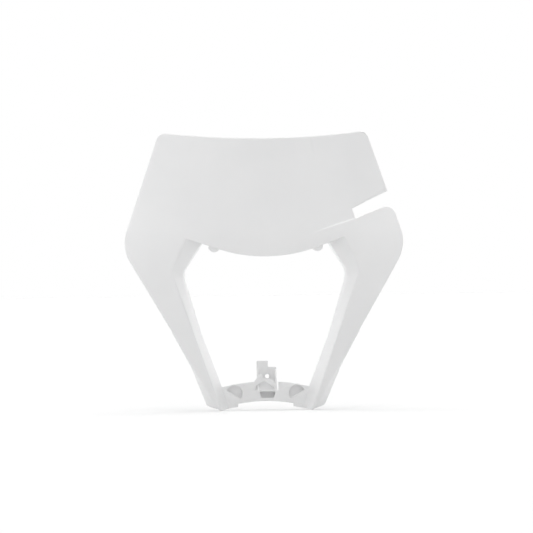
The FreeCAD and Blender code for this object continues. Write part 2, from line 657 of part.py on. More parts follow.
arm_left = pad_between("arm_left", [
    (cell("arm_root_x"), cell("arm_root_z")),
    (cell("arm_crown_x"), cell("arm_crown_z"), cell("arm_round")),
    (cell("arm_tip_x"), cell("arm_crown_z"), cell("arm_round")),
    (cell("arm_joint_x"), cell("arm_joint_z")),
    (cell("arm_under_x"), cell("arm_under_z")),
], cell("bar_y"), cell("bar_thick"))
arm_right = pad_between("arm_right", [
    (cell("arm_tip_x"), cell("arm_shoulder_z")),
    (cell("arm_shoulder_x"), cell("arm_shoulder_z"), cell("arm_round")),
    (cell("arm_bow_x"), cell("arm_bow_z"), cell("arm_round")),
    (cell("arm_foot_x"), cell("pocket_top_z")),
    ("Sizes.arm_foot_x - Sizes.arm_foot_width", cell("pocket_top_z")),
    (cell("arm_inner_x"), cell("arm_inner_z"), cell("arm_round")),
    (cell("arm_joint_x"), cell("arm_joint_z")),
], cell("bar_y"), cell("bar_thick"))
notch = pad_between("notch", [
    (cell("notch_left_x"), cell("ramp_front_z")),
    (cell("notch_right_x"), cell("ramp_front_z")),
    (cell("notch_right_x"), cell("tab_top_z")),
    (cell("notch_left_x"), cell("tab_top_z")),
], "Sizes.bar_y + Sizes.wall", "Sizes.bar_thick + 2 * Sizes.wall")
screw_start = f"{tab_front} - Sizes.wall / 2"
screw_run = "2 * Sizes.wall"
screw = rod("adjuster_hole", cell("screw_radius"), cell("screw_x"), screw_start, cell("screw_z"), screw_run)
bosses = []
pilots = []
ribs = []
for side, sign in (("right", ""), ("left", "-")):
    x = cell("boss_x", sign)
    bosses.append(rod(f"boss_{side}", cell("boss_radius"), x, cell("nose_y"), "0", "-Sizes.nose_y"))
    pilot_length = "Sizes.pilot_depth + Sizes.wall"
    pilots.append(rod(f"pilot_{side}", cell("pilot_radius"), x, "-Sizes.pilot_depth", "0", pilot_length))
    ribs.append(pad_across(f"rib_{side}", [
        (cell("nose_y"), "0"),
        ("-Sizes.boss_radius", "0"),
        ("-Sizes.boss_radius", "Sizes.boss_radius"),
        ("Sizes.nose_y / 2", cell("rib_height")),
        (cell("nose_y"), cell("rib_height")),
    ], f"{x} - Sizes.rib_thick / 2", cell("rib_thick")))
standing_all = join("Part::MultiFuse", "standing_all", bosses + ribs)
standing_behind = join("Part::MultiCommon", "standing_behind", [standing_all, behind])
dish_half = feature("dish_half", dish_void(size("wall") / 2))
dish_middle = join("Part::MultiCommon", "dish_middle", [dish_half, upper_plate])
standing = cut("standing", standing_behind, dish_middle)
bar_all = join("Part::MultiFuse", "bar_all", [bar] + pegs)
bar_open = cut("bar_open", bar_all, join("Part::MultiFuse", "bar_cuts", [cup_space, pocket, notch]))
clip_all = join("Part::MultiFuse", "clip_all", [tab, ramp, cheek_left, cheek_right, arm_left, arm_right])
clip = cut("clip", clip_all, screw)
pieces = [plate_slot, surround, flank_right, flank_left, bar_open, clip, standing]
whole = join("Part::MultiFuse", "whole", pieces)
mask = cut("mask", whole, join("Part::MultiFuse", "pilots", pilots))
mask.Refine = True
mask.Label = "headlight_mask"
doc.recompute()

for item in doc.Objects:
    if "Invalid" in item.State or "Error" in item.State:
        raise RuntimeError(f"{item.Label} did not build")
    if hasattr(item, "Shape") and (item.Shape.isNull() or not item.Shape.isValid()):
        raise RuntimeError(f"{item.Label} has no sound shape")
if len(mask.Shape.Solids) != 1:
    raise RuntimeError("the mask is not one solid")

os.makedirs("parts", exist_ok=True)
mask.Shape.exportStep("parts/headlight_mask.step")
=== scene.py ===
"""A white moulded headlight mask of an off-road motorbike, seen from the front on a white ground."""
import bpy
import numpy as np
from mathutils import Matrix, Vector
from mathutils.geometry import tessellate_polygon


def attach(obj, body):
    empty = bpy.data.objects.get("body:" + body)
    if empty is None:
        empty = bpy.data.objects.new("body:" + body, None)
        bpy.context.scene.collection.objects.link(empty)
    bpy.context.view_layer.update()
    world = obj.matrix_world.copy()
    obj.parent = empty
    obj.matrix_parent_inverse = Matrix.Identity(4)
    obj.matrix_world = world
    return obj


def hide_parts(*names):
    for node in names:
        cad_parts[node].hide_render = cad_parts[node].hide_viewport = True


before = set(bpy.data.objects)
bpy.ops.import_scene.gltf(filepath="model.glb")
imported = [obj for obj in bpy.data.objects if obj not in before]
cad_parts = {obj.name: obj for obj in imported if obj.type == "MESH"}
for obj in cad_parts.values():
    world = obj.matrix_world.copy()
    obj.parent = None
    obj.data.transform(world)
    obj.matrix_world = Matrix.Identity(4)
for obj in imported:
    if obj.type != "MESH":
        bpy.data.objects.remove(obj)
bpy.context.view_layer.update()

# Sizes in millimetres; places are seen from the front, as x to the right and z up.
flip = np.array([-1.0, 1.0])
wall = 2.5
# The rim is the reach of the rounding at a free edge. Soft is the width of the narrow row of faces along a
# fold, which takes no more than the soft share of its strip.
rim, soft, soft_share = 1.25, 1.2, 0.3

# The turned skin and the outline of the plate.
plan_radius = 260.0
nose_y, nose_z, nose_round = -30.0, -9.8, 150.0
brow_lean, leg_lean = np.radians(12.8), np.radians(10.8)
axis_y = nose_y + plan_radius
top_middle, top_corner = np.array([0.0, 107.0]), np.array([108.5, 119.8])
wing, foot = np.array([149.3, 0.4]), np.array([49.5, -169.7])
edge_slope = (wing[0] - top_corner[0]) / (top_corner[1] - wing[1])
wing_round, mouth_round, corner_round, top_round = 39.0, 10.0, 9.0, 800.0
visor_end, visor_middle, visor_radius = np.array([81.9, 8.85]), np.array([0.0, -19.4]), 155.0
# The seam between lower and upper plate, and places on the outline where rows of faces begin.
seam_z, wing_knot, mouth_knot, top_knots, top_low_z = 32.0, 17.9, 9.5, (22, 52, 60), 100.0

# The dish with its valley and flap, the hose slot and the step.
valley_top, valley_slot = np.array([71.0, 110.0]), np.array([91.3, 38.5])
dish_lean = np.radians(4.0)
dish_width_slot, dish_width_top = 50.0, 36.0
dish_fall_slot, dish_fall_top = 7.0, 3.0
brow_round, valley_round = 0.5, 2.0
# The dish counts from a margin before its start, and its flap from a share of its width.
dish_margin, flap_share = 12.0, 0.4
curl_start, curl_spread, curl_lift = 8.0, 0.14, 0.6
slot_middle, slot_angle, slot_width = np.array([92.7, 33.2]), np.radians(20.8), 10.6
flap_angle = slot_angle + np.radians(3.5)
along_slot = np.array([np.cos(slot_angle), np.sin(slot_angle)])
across_slot = np.array([-along_slot[1], along_slot[0]])
along_flap = np.array([np.cos(flap_angle), np.sin(flap_angle)])
slot_low = slot_middle - across_slot * slot_width / 2
slot_high = slot_middle + across_slot * slot_width / 2
step_start = np.array([41.0, 11.3])
riser_slant = 0.06

# The legs: rows of the lamp surround from the foot up, the foot's slanting end and the flanks.
surround = {
    "crease": [(44.4, -177.3), (72.4, -97.1), (97.9, -23.9), (76.6, 19.7)],
    "bevel": [(39.6, -177.3), (68.1, -97.1), (86.8, -27.9), (55.4, 19.7)],
    "lip": [(32.6, -177.3), (62.9, -97.1), (83.6, -26.8), (52.5, 19.7)],
}
leg_round, elbow_round = 260.0, 18.0
bevel_depth, lip_depth, surround_depth = 9.0, 15.0, 24.5
foot_slope, foot_inner_x = np.tan(np.radians(9.8)), 47.6
flank_top_z, flank_angle, flank_fade = -87.0, np.radians(60.0), 10.0
flank_corners, flank_rounds = [(51.0, -168.7), (61.8, -165.5), (78.5, -124.2)], [0, 6, 80, 0]
flank_knot = (63.4, -161.6)

# The crossbar with its cups and pegs, the adjuster clip and the lamp bosses.
bar_front, bar_rear = 23.4, 26.4
cup_x, cup_z, cup_radius, cup_outer_radius = 32.4, -152.6, 8.3, 9.8
cup_floor, cup_rear = 28.0, 28.9
gusset_z, gusset_slope = -172.9, np.tan(np.radians(30.0))
peg_radius, peg_end = 5.5, 40.9
tab_front, tab_left, tab_right, tab_top, tab_foot = bar_front + 9.0, -8.7, 11.9, -119.0, -159.0
tab_step_x, tab_step_z = 3.1, -125.5
ramp_left, ramp_right, cheek_wall = -10.3, 11.8, 2.0
screw_x, screw_z, screw_radius = 2.2, -135.0, 2.2
boss_x, boss_radius, hole_radius, hole_depth = 53.5, 5.5, 2.1, 14.0
web_top_z, web_top_y, web_foot_z, web_foot_y, web_wall = 24.5, -12.9, 5.5, -5.5, 2.0


def skin(x, z):
    """Depth of the front face: the plan is a circle about an upright axis, and its middle line is two
    leaning straights joined by an arc at the nose, so y = axis - sqrt((axis - middle(z))^2 - x^2)."""
    rise = z - nose_z
    reach = nose_round * np.tan((brow_lean + leg_lean) / 2)
    centre_rise = reach * np.cos(brow_lean) - nose_round * np.sin(brow_lean)
    centre_y = nose_y + reach * np.sin(brow_lean) + nose_round * np.cos(brow_lean)
    arc = centre_y - np.sqrt(np.maximum(nose_round ** 2 - (rise - centre_rise) ** 2, 0))
    middle = np.where(rise >= reach * np.cos(brow_lean), nose_y + rise * np.tan(brow_lean), arc)
    middle = np.where(rise <= -reach * np.cos(leg_lean), nose_y - rise * np.tan(leg_lean), middle)
    return axis_y - np.sqrt((axis_y - middle) ** 2 - x ** 2)


def nearer(a, b, span):
    """The lesser of two depths, with the corner where they cross rounded by span / 4 * (1 - gap / span)^2."""
    close = np.maximum(span - np.abs(a - b), 0) / span
    return np.minimum(a, b) - close ** 2 * span / 4


def edge_x(z):
    """Half width of the plate on the straight run between its top corner and its wing: the corner's own
    half width and the slope times the way down from the corner."""
    return top_corner[0] + (top_corner[1] - z) * edge_slope


def dished(x, z):
    """Depth of the upper plate: the skin, then a parabola that leaves it at 4 degrees and falls to the
    valley, then a straight flap from the valley to the outer edge, with both corners rounded. Along the
    upper edge of the slot the flap curls back by lift * breadth * (1 - distance / breadth)^2, and the
    breadth grows towards the mouth."""
    part = (z - valley_slot[1]) / (valley_top[1] - valley_slot[1])
    low_x = valley_slot[0] + (valley_top[0] - valley_slot[0]) * part
    width = dish_width_slot + (dish_width_top - dish_width_slot) * part
    start_x = low_x - width
    start_y = skin(start_x, z)
    low_y = skin(low_x, z) + dish_fall_slot + (dish_fall_top - dish_fall_slot) * part
    slant = np.tan(np.arcsin(start_x / (axis_y - skin(0 * z, z))) + dish_lean)
    bow = (low_y - start_y - slant * width) / width ** 2
    run = x - start_x
    slope = start_y + slant * run + bow * np.maximum(run, 0) ** 2
    end_x = edge_x(z) + wall
    flap = low_y + (skin(end_x, z) - low_y) * (x - low_x) / (end_x - low_x)
    plate = skin(x, z)
    fall = -nearer(-plate, -slope, brow_round)
    place = np.stack([x, z], axis=-1) - slot_high
    broad = np.maximum(curl_spread * (place @ along_flap - curl_start), 1e-6)
    above = place @ np.array([-along_flap[1], along_flap[0]])
    curl = curl_lift * broad * np.clip(1 - above / broad, 0, 1) ** 2
    flap = nearer(fall, flap, valley_round) + curl
    return np.where(run < -dish_margin, plate, np.where(run < flap_share * width, fall, flap))


def bent_line(corners, radii, runs, arc):
    """Straight runs joined by circle arcs. Each arc starts and ends radius / tan(half angle) from its
    corner and is the rational parabola of those two points and the corner."""
    corners = np.asarray(corners, float)
    groups = [corners[:1]]
    for before, corner, after, radius in zip(corners, corners[1:], corners[2:], radii[1:]):
        back, ahead = (v / np.linalg.norm(v) for v in (before - corner, after - corner))
        half = np.arccos(np.clip(back @ ahead, -1, 1)) / 2
        reach = radius / np.tan(half)
        k = np.linspace(0, 1, arc + 1 if radius else 1)[:, None]
        pull = 2 * k * (1 - k) * np.sin(half)
        arch = (1 - k) ** 2 * (corner + back * reach) + pull * corner + k ** 2 * (corner + ahead * reach)
        groups.append(arch / ((1 - k) ** 2 + pull + k ** 2))
    groups.append(corners[-1:])
    line = [groups[0]]
    for before, after, cells in zip(groups, groups[1:], runs):
        k = np.linspace(0, 1, cells + 1)[1:-1, None]
        line += [before[-1] + (after[0] - before[-1]) * k, after]
    return np.concatenate(line)


def bent_loop(corners, radii, arc):
    """A closed bent line, begun in the middle of its last run."""
    corners = np.asarray(corners, float)
    start = (corners[:1] + corners[-1:]) / 2
    runs = [1] * (len(corners) + 1)
    return bent_line(np.concatenate([start, corners, start]), [0, *radii, 0], runs, arc)[:-1]


def spread(path, knots, cells):
    """Points along a path, evenly spaced by length between knots, each the path's nearest point."""
    length = np.concatenate([[0], np.cumsum(np.linalg.norm(np.diff(path, axis=0), axis=1))])
    places = [length[np.argmin(np.linalg.norm(path - knot, axis=1))] for knot in knots]
    runs = [np.linspace(a, b, n, endpoint=False) for a, b, n in zip(places, places[1:], cells)]
    stations = np.concatenate(runs + [places[-1:]])
    return np.stack([np.interp(stations, length, path[:, i]) for i in (0, 1)], axis=1)


def shares(span, cells):
    """Row places from 0 to 1 across a strip, even but for one narrow row along each side."""
    side = np.minimum(soft, soft_share * span) / np.maximum(span, 1e-9)
    even = side + (1 - 2 * side) * np.linspace(0, 1, cells - 1)[:, None]
    return np.concatenate([0 * side[None], even, 0 * side[None] + 1])


def between(first, last, cells):
    """Rows of points on straight lines from one line of points to another."""
    span = np.linalg.norm(last - first, axis=1)
    return first + shares(span, cells)[..., None] * (last - first)


def lift(flat, surface):
    """Places seen from the front, put on a surface."""
    return np.stack([flat[..., 0], surface(flat[..., 0], flat[..., 1]), flat[..., 1]], axis=-1)


def unit(v):
    """Vectors divided by their lengths."""
    return v / np.maximum(np.linalg.norm(v, axis=-1, keepdims=True), 1e-12)


def across(points, faces):
    """Face normals by area: half the cross product of the diagonals."""
    return np.cross(points[faces[:, 2]] - points[faces[:, 0]], points[faces[:, 3]] - points[faces[:, 1]]) / 2


def grid_faces(rows, columns, closed=False):
    """Quads of a grid of points numbered row by row, joined round the columns if closed."""
    number = np.arange(rows * columns).reshape(rows, columns)
    number = np.concatenate([number, number[:, :1]], axis=1) if closed else number
    quads = [number[:-1, :-1], number[:-1, 1:], number[1:, 1:], number[1:, :-1]]
    return np.stack(quads, axis=-1).reshape(-1, 4)


def welded(patches):
    """One sheet from grids of points: each grid is turned to face its side, points that meet are made
    one, and a quad that meets itself becomes a triangle with its last point named twice."""
    points, faces, start = [], [], 0
    for grid, side in patches:
        flat = grid.reshape(-1, 3)
        quads = grid_faces(*grid.shape[:2])
        turned = across(flat, quads).sum(axis=0) @ np.asarray(side, float) < 0
        points.append(flat)
        faces.append((quads[:, ::-1] if turned else quads) + start)
        start += len(flat)
    points, faces = np.concatenate(points), np.concatenate(faces)
    _, first, number = np.unique(np.round(points, 3), axis=0, return_index=True, return_inverse=True)
    faces = number.reshape(-1)[faces]
    again = faces == np.roll(faces, -1, axis=1)
    pole = again.sum(axis=1) == 1
    thirds = faces[pole][~again[pole]].reshape(-1, 3)
    thirds = np.concatenate([thirds, thirds[:, 2:]], axis=1)
    return points[first], np.concatenate([faces[~again.any(axis=1)], thirds])


def shell(points, faces):
    """A closed wall from a sheet. The back is the sheet moved along its normals by the wall, more at a
    fold by one over the cosine of half its angle. Along free edges both sides draw back by the rim and
    a half ellipse, rim * sin(t) outwards and wall * (1 - cos(t)) / 2 deep, joins them."""
    least_cosine, least_push, short_share, steps = 0.7, 1.2, 0.85, 8
    size = len(points)
    area = across(points, faces)
    flat = unit(area)
    lean, share, count = np.zeros((size, 3)), np.zeros(size), np.zeros(size)
    for corner in faces.T:
        np.add.at(lean, corner, area)
    lean = unit(lean)
    for corner in faces.T:
        np.add.at(share, corner, (flat * lean[corner]).sum(axis=1))
        np.add.at(count, corner, 1)
    deep = wall / np.clip(share / count, least_cosine, 1)
    a, b = faces.reshape(-1), np.roll(faces, -1, axis=1).reshape(-1)
    owner = np.repeat(np.arange(len(faces)), 4)[a != b]
    a, b = a[a != b], b[a != b]
    shared = np.isin(a * size + b, b * size + a)
    short = np.full(size, 1e3)
    np.minimum.at(short, a[shared], np.linalg.norm(points[a] - points[b], axis=1)[shared])
    a, b, owner = a[~shared], b[~shared], owner[~shared]
    out = unit(np.cross(points[b] - points[a], flat[owner]))
    push = np.zeros((size, 3))
    np.add.at(push, a, out)
    np.add.at(push, b, out)
    mitre = 2 / np.maximum(np.linalg.norm(push, axis=1), least_push)
    push = unit(push) * (mitre * np.minimum(rim, short_share * short))[:, None]
    front = points - push
    back = front - lean * deep[:, None]
    edge = np.unique(a)
    place = np.zeros(size, int)
    place[edge] = np.arange(len(edge))
    turn = np.linspace(0, np.pi, steps + 1)[1:-1, None, None]
    bulge = front[edge] + push[edge] * np.sin(turn) + (back - front)[edge] * (1 - np.cos(turn)) / 2
    starts = 2 * size + np.arange(steps - 1)[:, None] * len(edge)
    rows_a = np.concatenate([a[None], starts + place[a], a[None] + size])
    rows_b = np.concatenate([b[None], starts + place[b], b[None] + size])
    strip = np.stack([rows_b[:-1], rows_a[:-1], rows_a[1:], rows_b[1:]], axis=-1).reshape(-1, 4)
    points = np.concatenate([front, back, bulge.reshape(-1, 3)])
    return points, np.concatenate([faces, faces[:, ::-1] + size, strip])


def prism(loops, near, far, rounding, axis="y"):
    """A closed block whose outline runs along an axis. The first loop is its outline, the others are
    holes. Its edges are quarter circles: inset r * (1 - sin(t)), depth r * (1 - cos(t)). near and far
    are depths or depth surfaces."""
    turn = np.linspace(0, np.pi / 2, 4)
    inset = rounding * np.concatenate([1 - np.sin(turn), 1 - np.sin(turn[::-1])])[:, None, None]
    depth = rounding * (1 - np.cos(turn))[:, None]
    points, sides, rings, start = [], [], [], 0
    for n, loop in enumerate(loops):
        loop = np.asarray(loop, float)
        turned = (loop[:, 0] * np.roll(loop[:, 1], -1) - loop[:, 1] * np.roll(loop[:, 0], -1)).sum() < 0
        loop = loop[::-1] if turned == (n == 0) else loop
        ahead = unit(np.roll(loop, -1, axis=0) - loop)
        inward = np.stack([-ahead[:, 1], ahead[:, 0]], axis=1)
        inward = inward + np.roll(inward, 1, axis=0)
        inward = inward * 2 / np.maximum((inward ** 2).sum(axis=1, keepdims=True), 1)
        flat = loop + inward * inset
        ends = [e(loop[:, 0], loop[:, 1]) if callable(e) else np.full(len(loop), e) for e in (near, far)]
        level = np.concatenate([ends[0] + depth, ends[1] - depth[::-1]])
        order = [flat[..., 0], level, flat[..., 1]] if axis == "y" else [level, flat[..., 0], flat[..., 1]]
        points.append(np.stack(order, axis=-1).reshape(-1, 3))
        sides.append(grid_faces(len(inset), len(loop), closed=True) + start)
        rings.append((flat[0], start + np.arange(len(loop)), start + (len(inset) - 1) * len(loop)))
        start += len(points[-1])
    caps = np.array(tessellate_polygon([[Vector((*p, 0)) for p in ring[0]] for ring in rings]))
    lids = []
    for offsets in ([ring[1] for ring in rings], [ring[1] - ring[1][0] + ring[2] for ring in rings]):
        thirds = np.concatenate(offsets)[caps]
        lids.append(np.concatenate([thirds, thirds[:, 2:]], axis=1))
    points, sides = np.concatenate(points), np.concatenate(sides)
    ahead = 1 if axis == "y" else 0
    lids = [lid[:, [1, 0, 2, 2]] if (across(points, lid).sum(axis=0)[ahead] > 0) == (n == 0) else lid
            for n, lid in enumerate(lids)]
    sides = sides[:, ::-1] if axis == "y" else sides
    return points, np.concatenate([sides, *lids])


def outward(points, faces):
    """Faces of a closed surface turned to face out, by the sign of the volume inside."""
    middle = points[faces].mean(axis=1) - points.mean(axis=0)
    return points, faces if (middle * across(points, faces)).sum() > 0 else faces[:, ::-1]


def joined(parts):
    """Several closed blocks as one mesh."""
    starts = np.cumsum([0] + [len(points) for points, _ in parts[:-1]])
    return (np.concatenate([points for points, _ in parts]),
            np.concatenate([faces + start for (_, faces), start in zip(parts, starts)]))


def piece(name, points, faces, crisp):
    """A mesh object of the white plastic that rides on the part. Folds sharper than crisp stay crisp."""
    mesh = bpy.data.meshes.new(name)
    again = faces == np.roll(faces, -1, axis=1)
    thirds = again.any(axis=1)
    corners = faces[thirds][~again[thirds]].reshape(-1, 3)
    mesh.from_pydata((points / 1000).tolist(), [], faces[~thirds].tolist() + corners.tolist())
    mesh.validate()
    mesh.shade_smooth()
    mesh.set_sharp_from_angle(angle=np.radians(crisp))
    obj = bpy.data.objects.new(name, mesh)
    bpy.context.collection.objects.link(obj)
    mesh.materials.append(plastic)
    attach(obj, "root")
    return obj


def white_plastic():
    """Through-coloured semi-gloss plastic: cloudy tone, fine moulded grain, gloss that varies a little."""
    mat = bpy.data.materials.new("white_plastic")
    mat.use_nodes = True
    nodes, links = mat.node_tree.nodes, mat.node_tree.links
    shader = nodes["Principled BSDF"]
    place = nodes.new("ShaderNodeTexCoord")
    cloud = nodes.new("ShaderNodeTexNoise")
    cloud.inputs["Scale"].default_value = 14.0
    cloud.inputs["Detail"].default_value = 3.0
    tone = nodes.new("ShaderNodeValToRGB")
    tone.color_ramp.elements[0].position = 0.3
    tone.color_ramp.elements[0].color = (0.845, 0.847, 0.85, 1)
    tone.color_ramp.elements[1].position = 0.7
    tone.color_ramp.elements[1].color = (0.875, 0.876, 0.877, 1)
    gloss = nodes.new("ShaderNodeMapRange")
    gloss.inputs["To Min"].default_value = 0.34
    gloss.inputs["To Max"].default_value = 0.44
    shader.inputs["Specular IOR Level"].default_value = 0.2
    grain = nodes.new("ShaderNodeTexNoise")
    grain.inputs["Scale"].default_value = 1400.0
    bump = nodes.new("ShaderNodeBump")
    bump.inputs["Strength"].default_value = 0.03
    bump.inputs["Distance"].default_value = 0.0002
    links.new(place.outputs["Object"], cloud.inputs["Vector"])
    links.new(place.outputs["Object"], grain.inputs["Vector"])
    links.new(cloud.outputs["Fac"], tone.inputs["Fac"])
    links.new(cloud.outputs["Fac"], gloss.inputs["Value"])
    links.new(grain.outputs["Fac"], bump.inputs["Height"])
    links.new(tone.outputs["Color"], shader.inputs["Base Color"])
    links.new(gloss.outputs["Result"], shader.inputs["Roughness"])
    links.new(bump.outputs["Normal"], shader.inputs["Normal"])
    return mat


plastic = white_plastic()

# Numbers of faces along the leg: from the foot to its bend, to the elbow, to the visor's end and behind it.
leg_run, elbow_run, visor_run, behind_run = 46, 26, 20, 8
# The same along the seam, the step, the slot's end and the slot's edge, and up the upper plate.
seam_run, step_run, end_run, slot_run, upper_rows = 60, 26, 6, 24, 40
crease_elbow_x, crease_top_x = surround["crease"][2][0], surround["crease"][3][0]
visor_share = (crease_elbow_x - visor_end[0]) / (crease_elbow_x - crease_top_x)


def surround_line(name):
    """One row of the lamp surround from the foot up, and its part behind the visor."""
    low, mid, elbow, top = np.array(surround[name])
    room = foot[1] + (foot_inner_x - low[0]) * foot_slope - low[1]
    reach = room / (mid[1] - low[1] + foot_slope * (mid[0] - low[0]))
    end = elbow + (top - elbow) * visor_share
    corners = [low + (mid - low) * reach, mid, elbow, end]
    runs = [leg_run - 2, elbow_run - 2, visor_run - 4]
    line = bent_line(corners, [0, leg_round, elbow_round, 0], runs, 4)
    return np.concatenate([line, end + (top - end) * np.linspace(0, 1, behind_run + 1)[1:, None]])


def rounded_row(row, before, after):
    """A fold drawn in towards its neighbour rows: half itself and a quarter of each of them."""
    return row / 2 + (before + after) / 4


def face_shell():
    """The plate, wings, legs, flanks and lamp surround as one rounded wall."""
    crease, bevel, lip = [surround_line(name) for name in ("crease", "bevel", "lip")]
    leg = leg_run + elbow_run + visor_run + 1
    visor = bent_line([visor_end * flip, visor_middle, visor_end], [0, visor_radius, 0], [80, 80], 240)
    over_step = visor[np.argmin(np.abs(visor[:, 0] - step_start[0]))]
    visor = spread(visor, [visor[0], over_step, visor[-1]], [seam_run, step_run])
    inner = np.concatenate([crease[:leg] * flip, visor[1:-1], crease[:leg][::-1]])

    mouth, flap_tip = [p + v * (edge_x(p[1]) - p[0]) / (v[0] + v[1] * edge_slope)
                       for p, v in ((slot_low, along_slot), (slot_high, along_flap))]
    seam_left = np.array([-edge_x(seam_z), seam_z])
    path = bent_line([foot * flip, wing * flip, seam_left, step_start, slot_low, mouth, wing, foot],
                     [0, wing_round, 0, 0, 0, mouth_round, wing_round, 0],
                     [400, 80, 400, 120, 80, 60, 400], 40)
    flank_top = foot + (wing - foot) * (flank_top_z - foot[1]) / (wing[1] - foot[1])
    wing_low = wing + unit(foot - wing) * wing_knot
    mouth_low = mouth + np.array([edge_slope, -1.0]) * mouth_knot
    knots = [foot * flip, flank_top * flip, wing_low * flip, seam_left, step_start, slot_low, mouth_low,
             wing_low, flank_top, foot]
    cells = [leg_run, elbow_run, visor_run, seam_run, step_run, visor_run // 2, visor_run // 2,
             elbow_run, leg_run]
    outer = spread(path, knots, cells)
    lower = lift(between(inner, outer, 16), skin)

    seam = outer[leg - 1:leg + seam_run + step_run]
    step = seam[seam_run:]
    drop = dished(step[:, 0], step[:, 1]) - skin(step[:, 0], step[:, 1])
    drop[0] = 0
    up = unit(np.array([-(slot_low - step_start)[1], (slot_low - step_start)[0]]))
    step_back = step + up * (riser_slant * drop)[:, None]
    ends = step_back[-1] + (slot_high - step_back[-1]) * np.linspace(0, 1, end_run + 1)[1:, None]
    edge = slot_high + (flap_tip - slot_high) * np.linspace(0, 1, slot_run + 1)[1:, None]
    bottom = np.concatenate([seam[:seam_run], step_back, ends, edge])
    rim_path = bent_line([seam_left, top_corner * flip, top_middle, top_corner, flap_tip],
                         [0, corner_round, top_round, corner_round, 0], [200, 400, 400, 200], 60)
    corner = rim_path[np.argmin(np.linalg.norm(rim_path - top_corner, axis=1))]
    top_run = rim_path[rim_path[:, 1] > top_low_z]
    stops = [top_run[np.argmin(np.abs(top_run[:, 0] - x))] for x in top_knots]
    top = spread(rim_path, [corner * flip, *stops, corner], [seam_run, step_run, end_run, slot_run])
    left = spread(rim_path, [seam_left, corner * flip], [upper_rows])[:, None]
    right = spread(rim_path[::-1], [flap_tip, corner], [upper_rows])[:, None]
    length = np.concatenate([[0], np.cumsum(np.linalg.norm(np.diff(bottom, axis=0), axis=1))])
    u = (length / length[-1])[:, None]
    v = np.linspace(0, 1, upper_rows + 1)[:, None, None]
    plane = (1 - v) * bottom + v * top + (1 - u) * left + u * right
    plane = plane - (1 - u) * ((1 - v) * bottom[0] + v * top[0]) - u * ((1 - v) * bottom[-1] + v * top[-1])
    upper = lift(plane, dished)
    upper[0, :seam_run + 1] = lower[-1, leg - 1:leg + seam_run]
    on_step = slice(leg - 1 + seam_run, leg + seam_run + step_run)
    riser = between(lower[-1, on_step], upper[0, seam_run:seam_run + step_run + 1], 4)
    lower[-1, on_step][1:] = rounded_row(lower[-1, on_step], lower[-2, on_step], riser[1])[1:]
    fold = upper[0, seam_run:seam_run + step_run + 1]
    fold[1:] = rounded_row(fold, upper[1, seam_run:seam_run + step_run + 1], riser[-2])[1:]
    riser[0], riser[-1] = lower[-1, on_step], fold
    patches = [(lower, (0, -1, 0)), (upper, (0, -1, 0)), (riser, (0, 0, 1))]

    low_edge = outer[-leg_run - 1:][::-1]
    along = unit(flank_top - foot)
    aside = np.array([along[1], -along[0]])
    flank_path = bent_line([*flank_corners, flank_top], flank_rounds, [40, 120, 120], 40)
    flank_far = spread(flank_path, [flank_path[0], flank_knot, flank_top], [8, leg_run - 8])
    place = between(low_edge, flank_far, 5)
    run, apart = (place - foot) @ along, (place - foot) @ aside
    line = foot + along * run[..., None]
    flank_y = skin(line[..., 0], line[..., 1]) + apart * np.tan(flank_angle)
    flank = np.stack([place[..., 0], flank_y, place[..., 1]], axis=-1)
    front_a = lift(crease, skin)
    front_a[leg:, 1] += wall / 2
    middle_c = np.stack([bevel[:, 0], skin(crease[:, 0], crease[:, 1]) + bevel_depth, bevel[:, 1]], axis=-1)
    rear_b = np.stack([lip[:, 0], middle_c[:, 1] + lip_depth, lip[:, 1]], axis=-1)
    short = middle_c[:, 1] - skin(bevel[:, 0], bevel[:, 1]) - surround_depth
    long = rear_b[:, 1] - skin(lip[:, 0], lip[:, 1]) - surround_depth
    rear_b = middle_c + (rear_b - middle_c) * (-short / (long - short))[:, None]
    funnel = np.concatenate([between(front_a, middle_c, 6), between(middle_c, rear_b, 8)[1:]])
    funnel[6] = rounded_row(funnel[6], funnel[5], funnel[7])
    stations = np.arange(leg - 1)
    breadth = np.linalg.norm(flank_far - low_edge, axis=1)[:leg_run, None]
    fade = np.clip(breadth / flank_fade, 0, 1)
    for side, inside in ((np.array([-1.0, 1.0, 1.0]), stations), (np.ones(3), lower.shape[1] - 1 - stations)):
        outside = inside[:leg_run]
        wall_side, flank_side = funnel * side, flank * side
        folded = rounded_row(wall_side[0, :leg - 1], lower[1, inside], wall_side[1, :leg - 1])
        lower[0, inside] = wall_side[0, :leg - 1] = folded
        folded = rounded_row(flank_side[0, :leg_run], lower[-2, outside], flank_side[1, :leg_run])
        folded = flank_side[0, :leg_run] + (folded - flank_side[0, :leg_run]) * fade
        lower[-1, outside] = flank_side[0, :leg_run] = folded
        patches += [(wall_side, (0, -1, 0)), (flank_side, (0, -1, 0))]
    return shell(*welded(patches))


face = piece("mask_face", *face_shell(), 60)
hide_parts("headlight_mask")


def circle(x, z, radius, count=48):
    """Points round a circle: x + radius * cos(t), z + radius * sin(t)."""
    turn = np.linspace(0, 2 * np.pi, count, endpoint=False)
    return np.stack([x + radius * np.cos(turn), z + radius * np.sin(turn)], axis=1)


def cup_outline(sign):
    """A circle cut off below a slanting gusset: from a point inside, the nearer of circle and chord."""
    turn = np.linspace(0, 2 * np.pi, 64, endpoint=False)
    ray = np.stack([np.cos(turn), np.sin(turn)], axis=1)
    away = np.array([-2.0, 3.0])
    start = away + (cup_x, cup_z)
    ahead = ray @ away
    to_circle = -ahead + np.sqrt(ahead ** 2 - away @ away + cup_radius ** 2)
    fall = gusset_slope * ray[:, 0] - ray[:, 1]
    room = start[1] - (gusset_z + start[0] * gusset_slope)
    to_chord = np.where(fall > 1e-6, room / np.maximum(fall, 1e-6), 1e3)
    return (start + ray * np.minimum(to_circle, to_chord)[:, None]) * (sign, 1)


